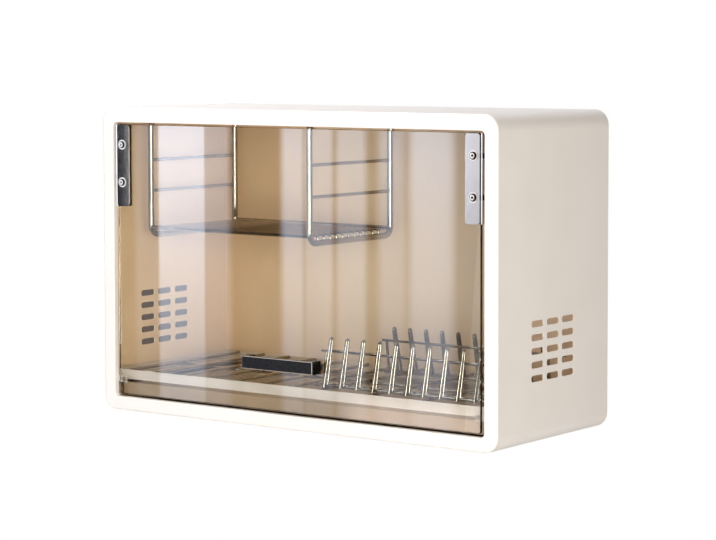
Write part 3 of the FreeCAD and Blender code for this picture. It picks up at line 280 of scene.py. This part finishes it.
def bent_wires(name, runs, radius):
    """Round wires, one for each list of points, with flat cut ends."""
    curve = bpy.data.curves.new(name, "CURVE")
    curve.dimensions = "3D"
    curve.bevel_depth = radius
    curve.bevel_resolution = WIRE_ROUNDNESS
    curve.use_fill_caps = True
    for points in runs:
        wire = curve.splines.new("POLY")
        wire.points.add(len(points) - 1)
        wire.use_smooth = True
        for spot, place in zip(wire.points, points):
            spot.co = (*place, 1.0)
    piece = bpy.data.objects.new(name, curve)
    bpy.context.scene.collection.objects.link(piece)
    return piece


def floor_wire(y, low, high):
    """Points of one wire: up a short leg, over to the other side and down again."""
    left, right, top = low.x + WIRE_RADIUS, high.x - WIRE_RADIUS, high.z - WIRE_RADIUS
    turns = [math.pi / 2 * step / ARC_STEPS for step in range(ARC_STEPS + 1)]
    rise = [(left + WIRE_BEND * (1 - math.cos(turn)), y, top - WIRE_BEND * (1 - math.sin(turn)))
            for turn in turns]
    fall = [(left + right - x, y, z) for x, y, z in reversed(rise)]
    return [(left, y, low.z)] + rise + fall + [(right, y, low.z)]


def basket_floor():
    low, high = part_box("basket_floor_wires")
    first, last = low.y + WIRE_RADIUS, high.y - WIRE_RADIUS
    places = [first + (last - first) * number / (FLOOR_WIRES - 1) for number in range(FLOOR_WIRES)]
    wires = bent_wires("basket_floor_bent_wires", [floor_wire(y, low, high) for y in places], WIRE_RADIUS)
    wires.data.materials.append(WIRES["x"])
    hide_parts("basket_floor_wires")
    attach(wires, "cabinet")


basket_floor()

# Door: 5 mm float glass, cut, drilled, its edges ground to a small arris, and then toughened.
# Clean glass shows only by what it mirrors, by a few faint smears and by its edges, tinted dark grey: partly
# the real green-grey of glass seen edge on, partly painted shade of the gap around the pane.
# The lamps' light passes straight through it.
GLASS_ARRIS = 0.9 * MM
GLASS_SMEAR = 140 * MM
SHARP_EDGE = math.radians(60)
# The pane's faces look at least this straight to the front or the back, and its edges don't.
FACE_TURN = 0.9


def float_glass(name):
    material = new_material(name)
    normal = add(material, "ShaderNodeTexCoord", output="Normal")
    forward = add(material, "ShaderNodeSeparateXYZ", {}, {"Vector": normal}, "Y")
    either_way = add(material, "ShaderNodeMath", {"operation": "ABSOLUTE"}, {0: forward})
    on_face = add(material, "ShaderNodeMath", {"operation": "GREATER_THAN", 1: FACE_TURN}, {0: either_way})
    # Edge faces get the dark grey tint: partly the glass's own edge colour, partly painted shade of the gap
    # around the pane.
    tint = add(material, "ShaderNodeMix", {"data_type": "RGBA", 6: linear("#565B58"), 7: linear("#F3F8F5")},
               {0: on_face}, 2)
    smear = add(material, "ShaderNodeMapRange", {**NOISE_MIDDLE, "To Max": 0.012},
                {"Value": noise(material, GLASS_SMEAR)})
    glass = add(material, "ShaderNodeBsdfPrincipled", {"Transmission Weight": 1.0, "IOR": 1.5},
                {"Base Color": tint, "Roughness": smear})
    passed = add(material, "ShaderNodeBsdfTransparent", {"Color": linear("#F3F5F2")})
    to_lamp = add(material, "ShaderNodeLightPath", output="Is Shadow Ray")
    whole = add(material, "ShaderNodeMixShader", {}, {0: to_lamp, 1: glass, 2: passed})
    add(material, "ShaderNodeOutputMaterial", {}, {"Surface": whole})
    return material


def round_off(node, width):
    """Break the sharp edges of a CAD piece, and return the modifier that does it."""
    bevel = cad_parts[node].modifiers.new("broken_edges", "BEVEL")
    bevel.width = width
    bevel.segments = 1
    bevel.limit_method = "ANGLE"
    bevel.angle_limit = SHARP_EDGE
    return bevel


dress("door_glass", float_glass("toughened_float_glass"))
round_off("door_glass", GLASS_ARRIS)

# Hinge clamps: 2 mm stainless plates in front of the glass and behind it, with rubber gaskets between.
# The front plates are brushed upright with a fine belt and mirror softly; the tumbled leaves are dull.
# Button-head screws, washers, nuts and nylon sleeves clamp them.
BELT_OUT = (1.0, 1.0, 40.0)
BELT_RELIEF = {"depth": 0.01 * MM, "strength": 0.04, "detail": 4.0}
# Real belt marks are finer, and are drawn as coarse as they need to show.
BELT_MARK = 0.5 * MM

plate_steel = worked_steel("brushed_stainless_plate", BELT_MARK, BELT_OUT, ("#D2C3B6", "#DFD2C6"),
                           (0.03, 0.06), **BELT_RELIEF)
leaf_steel = worked_steel("tumbled_stainless_leaf", BELT_MARK, BELT_OUT, ("#DCD8D4", "#DFD2C6"),
                          (0.32, 0.42), **BELT_RELIEF)
for side in ("left", "right"):
    dress(f"hinge_cover_plate_{side}", plate_steel)
    dress(f"hinge_leaf_{side}", leaf_steel)
dress("hinge_gaskets", moulded_rubber("moulded_black_rubber", "#161616", "#242322"))

# Clamp hardware: washers turned from stainless bar, zinc plated nuts and machined nylon sleeves.
# A thin dull skin makes the turned faces paler than a mirror, and their broken rims are painted near black,
# painted shade that draws a dark ring round each washer.
# The nylon is milky, with a soft shine and a little light inside.
WASHER_EDGE = 0.55 * MM
NYLON_CLOUD = 3 * MM
TURNED_RELIEF = 0.02 * MM
TURNED_POLISH = (0.35, 0.45)
# Real turning marks are finer, and are drawn as coarse as they need to show.
TURNED_MARK = 0.6 * MM
EVEN = (1.0, 1.0, 1.0)


def machined_nylon(name):
    material = new_material(name)
    milk = two_tones(material, noise(material, NYLON_CLOUD), "#DAD8D0", "#E8E6E0")
    shine = add(material, "ShaderNodeMapRange", {**NOISE_MIDDLE, "To Min": 0.4, "To Max": 0.55},
                {"Value": noise(material, MM)})
    surface(material, {"IOR": 1.53, "Subsurface Weight": 0.1, "Subsurface Radius": (MM, MM, MM)}, milk, shine)
    return material


fastener_steel = worked_steel("turned_stainless_fastener", TURNED_MARK, EVEN, ("#D8D1C9", "#E8E2DB"),
                              TURNED_POLISH, TURNED_RELIEF, metallic=0.6)
# Near-black steel for rims and recesses: painted shade, not a finish of the steel.
painted_shade_steel = worked_steel("turned_steel_painted_shade", TURNED_MARK, EVEN, ("#1E1B18", "#2C2825"),
                          TURNED_POLISH, TURNED_RELIEF)
nylon = machined_nylon("machined_nylon")
dress("hinge_screw_washers", fastener_steel)
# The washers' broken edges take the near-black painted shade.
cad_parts["hinge_screw_washers"].data.materials.append(painted_shade_steel)
round_off("hinge_screw_washers", WASHER_EDGE).material = 1
dress("hinge_nuts", zinc)
dress("glass_sleeves", nylon)

# Clamp screws: turned stainless button heads with a low dome and a hexagon socket.
# Their rims, outer dome flanks and socket floors are painted near black as painted shade, so each head shows
# as a pale ring in a dark one.
# Their shanks go back through the nylon sleeves to the nuts behind the glass.
HEAD_RADIUS = 5.4 * MM
HEAD_HEIGHT = 2.7 * MM
RIM_HEIGHT = 0.7 * MM
SHANK_RADIUS = 2.5 * MM
SOCKET_RADIUS = 2.2 * MM
SOCKET_DEPTH = 1.5 * MM
LAND_RADIUS = 2.9 * MM
AROUND = 48
DOME_STEPS = 8
# Rings of faces that get the near-black painted shade: the rim and the outer part of the dome.
DARK_RINGS = range(2, 9)
CREASE = math.radians(35)


def hexagon(angle, corner_radius):
    """Distance from the middle to the side of a hexagon, in this direction."""
    flat = corner_radius * math.cos(math.pi / 6)
    return flat / math.cos((angle + math.pi / 6) % (math.pi / 3) - math.pi / 6)


def head_rings(shank_length):
    """(height over the seat, radius, hexagonal or round) from the shank's end up to the socket's floor."""
    rings = [(-shank_length, SHANK_RADIUS, False), (0.0, SHANK_RADIUS, False), (0.0, HEAD_RADIUS, False)]
    for step in range(DOME_STEPS + 1):
        turn = math.pi / 2 * step / DOME_STEPS
        height = RIM_HEIGHT + (HEAD_HEIGHT - RIM_HEIGHT) * math.sin(turn)
        rings.append((height, LAND_RADIUS + (HEAD_RADIUS - LAND_RADIUS) * math.cos(turn), False))
    return rings + [(HEAD_HEIGHT, SOCKET_RADIUS, True), (HEAD_HEIGHT - SOCKET_DEPTH, SOCKET_RADIUS, True)]


def button_screws(name, centres, seat, tail):
    """Screws whose heads look along -Y, with their seats at one depth and their shanks' ends at another."""
    points, faces, dark = [], [], []
    for x, z in centres:
        rings = head_rings(tail - seat)
        start = len(points)
        for height, radius, hexagonal in rings:
            for step in range(AROUND):
                angle = 2 * math.pi * step / AROUND
                reach = hexagon(angle, radius) if hexagonal else radius
                points.append((x + reach * math.cos(angle), seat - height, z + reach * math.sin(angle)))
        for ring in range(len(rings) - 1):
            for step in range(AROUND):
                here, onward = start + ring * AROUND, (step + 1) % AROUND
                faces.append((here + step, here + onward, here + AROUND + onward, here + AROUND + step))
                dark.append(int(ring in DARK_RINGS))
        floor = start + (len(rings) - 1) * AROUND
        faces.append(tuple(range(start + AROUND - 1, start - 1, -1)))
        faces.append(tuple(range(floor, floor + AROUND)))
        # The socket's floor gets the painted shade too; the shank's end does not.
        dark += [0, 1]
    mesh = bpy.data.meshes.new(name)
    mesh.from_pydata(points, [], faces)
    mesh.polygons.foreach_set("material_index", dark)
    mesh.polygons.foreach_set("use_smooth", [True] * len(mesh.polygons))
    mesh.set_sharp_from_angle(angle=CREASE)
    piece = bpy.data.objects.new(name, mesh)
    bpy.context.scene.collection.objects.link(piece)
    return piece


def clamp_screws():
    low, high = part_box("hinge_screws")
    across = (low.x + HEAD_RADIUS, high.x - HEAD_RADIUS)
    levels = (low.z + HEAD_RADIUS, high.z - HEAD_RADIUS)
    centres = [(x, z) for x in across for z in levels]
    screws = button_screws("hinge_button_screws", centres, low.y + HEAD_HEIGHT, high.y)
    for material in (fastener_steel, painted_shade_steel):
        screws.data.materials.append(material)
    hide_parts("hinge_screws")
    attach(screws, "door")


clamp_screws()

# Pivots: stainless shoulder pins through the leaves' ears and the brackets,
# with nylon friction washers, spring washers and lock nuts that hold the door where it is left.
dress("hinge_pins", fastener_steel)
dress("friction_washers", nylon)
for node in ("spring_washers", "pin_lock_nuts"):
    dress(node, zinc)

# Handle: a flat aluminium bar with a turned-back leg at each end, in a satin black coat.
# Its rounded edges are painted pale grey, a painted highlight for the light line they catch.
BLACK_CLOUD = 30 * MM
BLACK_PATCH = 6 * MM
BLACK_GRIT = 0.9 * MM
# The bar's flats look at least this straight along one axis, and its rounded edges don't.
FLAT_TURN = 0.97


def black_coat(name):
    material = new_material(name)
    cloud = two_tones(material, noise(material, BLACK_CLOUD), "#0B0A0A", "#141110")
    normal = add(material, "ShaderNodeTexCoord", output="Normal")
    turned = add(material, "ShaderNodeVectorMath", {"operation": "ABSOLUTE"}, {0: normal})
    parts = add(material, "ShaderNodeSeparateXYZ", {}, {"Vector": turned}).node.outputs
    widest = parts["X"]
    for part in (parts["Y"], parts["Z"]):
        widest = add(material, "ShaderNodeMath", {"operation": "MAXIMUM"}, {0: widest, 1: part})
    # Rounded edges get the pale grey painted highlight.
    rounded = add(material, "ShaderNodeMath", {"operation": "LESS_THAN", 1: FLAT_TURN}, {0: widest})
    coat = add(material, "ShaderNodeMix", {"data_type": "RGBA", 7: linear("#B5AFA9")},
               {0: rounded, 6: cloud}, 2)
    satin = add(material, "ShaderNodeMapRange", {**NOISE_MIDDLE, "To Min": 0.24, "To Max": 0.32},
                {"Value": noise(material, BLACK_PATCH)})
    surface(material, {"IOR": 1.5, "Specular IOR Level": 0.12}, coat, satin,
            noise(material, BLACK_GRIT, 3.0), 0.04, 0.02 * MM)
    return material


dress("door_handle", black_coat("satin_black_coated_aluminium"))
for node in ("handle_washers", "handle_screws"):
    dress(node, zinc)

# Drip tray: a shallow pressed pan of beige coated steel, whose side flanges slide in the runners.
# Its front edge shows as a tan band under the rack; that outer tone is darker than the pan's own beige,
# partly painted shade from the rack's lip above it.
dress("drip_tray", powder_coat("powder_coated_steel_beige", "#A08468", "#C9B49B"))

# Floor: a wide pale studio floor, well below the cabinet, which hangs on a wall.
# It is white to the camera, and polished pieces don't mirror it.
FLOOR_DROP = 0.62
FLOOR_SIZE = 60.0
FLOOR_CLOUD = 500 * MM


def stage_sheet(name, corners):
    mesh = bpy.data.meshes.new(name)
    mesh.from_pydata(corners, [], [(0, 1, 2, 3)])
    sheet = bpy.data.objects.new(name, mesh)
    bpy.context.scene.collection.objects.link(sheet)
    return sheet


def pale_floor():
    half, level = FLOOR_SIZE / 2, CASING_LOW.z - FLOOR_DROP
    floor = stage_sheet("floor", [(-half, -half, level), (half, -half, level),
                                  (half, half, level), (-half, half, level)])
    material = new_material("pale_floor")
    tone = add(material, "ShaderNodeMix", {"data_type": "RGBA", 6: linear("#F4F3F1"), 7: linear("#F8F7F6")},
               {0: noise(material, FLOOR_CLOUD)}, 2)
    matt = add(material, "ShaderNodeBsdfPrincipled", {"Roughness": 0.9}, {"Base Color": tone})
    white = add(material, "ShaderNodeEmission", {"Color": linear("#FFFFFF"), "Strength": 1.0})
    seen = add(material, "ShaderNodeLightPath", output="Is Camera Ray")
    whole = add(material, "ShaderNodeMixShader", {}, {0: seen, 1: matt, 2: white})
    add(material, "ShaderNodeOutputMaterial", {}, {"Surface": whole})
    floor.visible_glossy = floor.visible_transmission = False
    floor.data.materials.append(material)


pale_floor()

# Light strips: tall soft strips and a low board far in front on the left, on one sheet.
# Only the glass and the polished steel mirror them, as bands of light across the door.
STRIP_DISTANCE = 2.3
STRIP_LOW, STRIP_HIGH = -1.2, 0.9
STRIPS_FROM, STRIPS_TO = -2.6, -0.6
# Each strip: where it starts and ends across the room, the width of its soft edges, its glow.
STRIPS = [(-2.10, -2.01, 0.03, 1.8), (-2.02, -1.86, 0.02, 8.4), (-1.90, -1.78, 0.04, 3.4),
          (-1.61, -1.54, 0.03, 5.0), (-1.54, -1.45, 0.03, 4.0), (-1.44, -1.35, 0.03, 3.7),
          (-1.31, -1.23, 0.04, 3.2), (-1.22, -1.09, 0.05, 4.9), (-1.10, -0.70, 0.05, 0.7)]
# Heights between which the strips grow brighter, and the share of their glow that they have there.
STRIP_FOOT, STRIP_BRIGHT = -0.6, 0.06
FOOT_SHARE, BRIGHT_SHARE = 0.45, 1.8
# The low board: the same four values as a strip's, then how high it reaches and how softly it ends.
LOW_BOARD = (-1.40, -0.98, 0.12, 4.9)
BOARD_TOP, BOARD_FADE = -0.55, 0.06


def soft_band(material, place, start, end, soft, glow):
    """A band of light from start to end, with edges that fade over the width soft."""
    rise = {"interpolation_type": "SMOOTHSTEP", "From Min": start - soft / 2, "From Max": start + soft / 2,
            "To Min": 0.0, "To Max": glow}
    fall = {"interpolation_type": "SMOOTHSTEP", "From Min": end - soft / 2, "From Max": end + soft / 2,
            "To Min": 1.0, "To Max": 0.0}
    begun, ended = [add(material, "ShaderNodeMapRange", edge, {"Value": place}) for edge in (rise, fall)]
    return add(material, "ShaderNodeMath", {"operation": "MULTIPLY"}, {0: begun, 1: ended})


def light_strips():
    depth = -STRIP_DISTANCE
    card = stage_sheet("light_strips", [(STRIPS_FROM, depth, STRIP_LOW), (STRIPS_TO, depth, STRIP_LOW),
                                        (STRIPS_TO, depth, STRIP_HIGH), (STRIPS_FROM, depth, STRIP_HIGH)])
    material = new_material("light_strips")
    place = add(material, "ShaderNodeTexCoord", output="Object")
    across, _, upward = add(material, "ShaderNodeSeparateXYZ", {}, {"Vector": place}).node.outputs
    glow = soft_band(material, across, *STRIPS[0])
    for strip in STRIPS[1:]:
        band = soft_band(material, across, *strip)
        glow = add(material, "ShaderNodeMath", {"operation": "MAXIMUM"}, {0: glow, 1: band})
    growth = {"From Min": STRIP_FOOT, "From Max": STRIP_BRIGHT, "To Min": FOOT_SHARE, "To Max": BRIGHT_SHARE}
    share = add(material, "ShaderNodeMapRange", growth, {"Value": upward})
    glow = add(material, "ShaderNodeMath", {"operation": "MULTIPLY"}, {0: glow, 1: share})
    strips = add(material, "ShaderNodeEmission", {"Color": linear("#DCE9FF")}, {"Strength": glow})
    wide = soft_band(material, across, *LOW_BOARD)
    low = soft_band(material, upward, STRIP_LOW, BOARD_TOP, BOARD_FADE, 1.0)
    patch = add(material, "ShaderNodeMath", {"operation": "MULTIPLY"}, {0: wide, 1: low})
    board = add(material, "ShaderNodeEmission", {"Color": linear("#FFECEA")}, {"Strength": patch})
    both = add(material, "ShaderNodeAddShader", {}, {0: strips, 1: board})
    add(material, "ShaderNodeOutputMaterial", {}, {"Surface": both})
    card.visible_camera = card.visible_diffuse = card.visible_transmission = card.visible_shadow = False
    card.data.materials.append(material)


light_strips()

# Room: what a ray meets past the stage. Matt faces get a soft warm fill and polished ones a dim room,
# the view out through the vents is dark, and the camera sees white behind the object.
ROOM_FILL = ("#FBF4EC", 0.13)
ROOM_SEEN_BY = {"Is Glossy Ray": ("#EDDCCA", 0.22), "Is Transmission Ray": ("#F3B97D", 0.10),
                "Is Camera Ray": ("#FFFFFF", 1.0)}


def studio_room():
    world = bpy.data.worlds.new("studio")
    world.use_nodes = True
    world.node_tree.nodes.clear()
    rays = add(world, "ShaderNodeLightPath").node.outputs
    colour, strength = ROOM_FILL
    whole = add(world, "ShaderNodeBackground", {"Color": linear(colour), "Strength": strength})
    for ray, (colour, strength) in ROOM_SEEN_BY.items():
        light = add(world, "ShaderNodeBackground", {"Color": linear(colour), "Strength": strength})
        whole = add(world, "ShaderNodeMixShader", {}, {0: rays[ray], 1: whole, 2: light})
    add(world, "ShaderNodeOutputWorld", {}, {"Surface": whole})
    bpy.context.scene.world = world


studio_room()

# Lamps: large soft boxes in front, over the roof and on the right, and a narrow one for gleams on the wires.
# Each: name, where it stands, where it looks, width, height, watts, colour,
# and whether polished pieces mirror it.
LAMPS = [("front_lamp", (-0.05, -3.4, -0.35), (0.0, -0.2, 0.05), 3.4, 2.2, 38.0, "#FFFFFF", False),
         ("roof_lamp", (-0.8, -0.3, 2.0), (-0.1, -0.2, 0.2), 2.4, 1.6, 61.0, "#FDFBFF", True),
         ("right_lamp", (2.3, -2.3, 0.15), (-0.1, -0.2, 0.0), 1.4, 1.4, 61.0, "#FFF6EC", False),
         ("gleam_lamp", (0.4, -3.0, 0.25), (0.0, -0.2, 0.05), 0.28, 1.9, 4.0, "#FFFDFA", True)]


def soft_lamp(name, place, target, width, height, watts, colour, mirrored):
    lamp = bpy.data.lights.new(name, "AREA")
    lamp.shape = "RECTANGLE"
    lamp.size, lamp.size_y = width, height
    lamp.energy = watts
    lamp.color = linear(colour)[:3]
    holder = bpy.data.objects.new(name, lamp)
    holder.location = place
    holder.rotation_euler = (Vector(target) - Vector(place)).to_track_quat("-Z", "Y").to_euler()
    holder.visible_camera = False
    holder.visible_glossy = mirrored
    bpy.context.scene.collection.objects.link(holder)


for lamp in LAMPS:
    soft_lamp(*lamp)

# Camera: stands to the right of the front and a little above, as the product view does.
# It was fitted to the casing's edges in the photograph.
CAMERA_PLACE = Vector((2.0392, -2.8740, 0.3121))
CAMERA_AIM = Vector((0.1219, -0.2850, 0.1064))
CAMERA_ROLL = math.radians(-0.10)
CAMERA_LENS = 118.5
SENSOR_WIDTH = 36.0
CAMERA_RISE = -0.1


def product_camera():
    data = bpy.data.cameras.new("camera")
    data.lens = CAMERA_LENS
    data.sensor_width = SENSOR_WIDTH
    data.shift_y = CAMERA_RISE
    data.clip_end = FLOOR_SIZE
    camera = bpy.data.objects.new("camera", data)
    turn = (CAMERA_AIM - CAMERA_PLACE).to_track_quat("-Z", "Y").to_matrix()
    turn = (turn @ Matrix.Rotation(CAMERA_ROLL, 3, "Z")).to_4x4()
    camera.matrix_world = Matrix.Translation(CAMERA_PLACE) @ turn
    bpy.context.scene.collection.objects.link(camera)
    bpy.context.scene.camera = camera


product_camera()
bpy.context.scene.view_settings.view_transform = "Standard"
